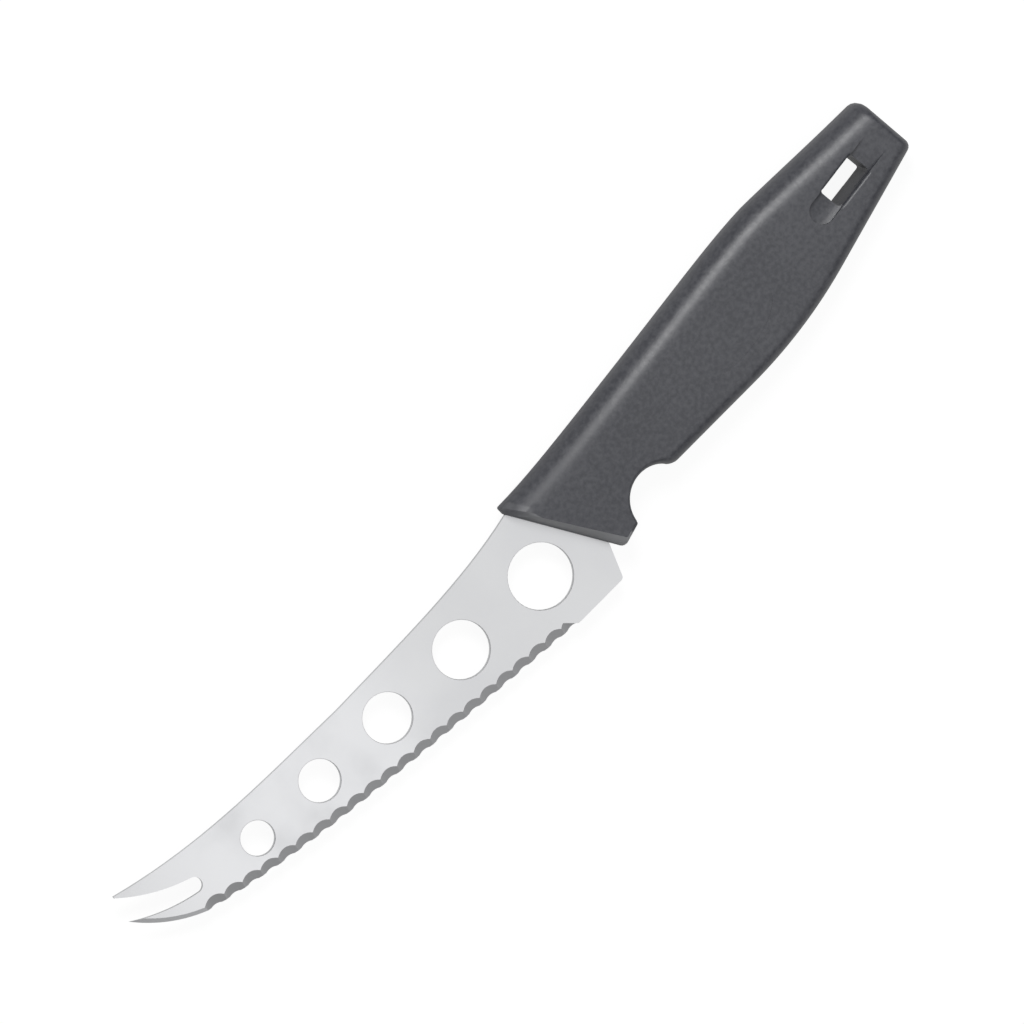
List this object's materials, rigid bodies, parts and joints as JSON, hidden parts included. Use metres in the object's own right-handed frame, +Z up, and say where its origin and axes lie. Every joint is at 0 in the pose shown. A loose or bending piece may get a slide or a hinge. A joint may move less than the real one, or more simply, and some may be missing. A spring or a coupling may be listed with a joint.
{
  "type": "cheese knife",
  "caption": "Cheese knife: curved, scalloped and forked steel blade with graded release holes, in a moulded grip with a finger notch and a hanging eye.",
  "frame": {"origin": "middle of the lower broad face of the grip, on which the knife lies", "axes": "+X from the fork to the butt, along the straight part of the cutting edge; +Y from the edge to the spine; +Z up, out of the scalloped face"},
  "size_m": [0.2765, 0.0451, 0.014],
  "materials": {
    "blade_steel": "satin",
    "grip_plastic": "fine matt grain"
  },
  "bodies": {
    "root": {"blade": "blade_steel", "handle": "grip_plastic"}
  },
  "joints": []
}
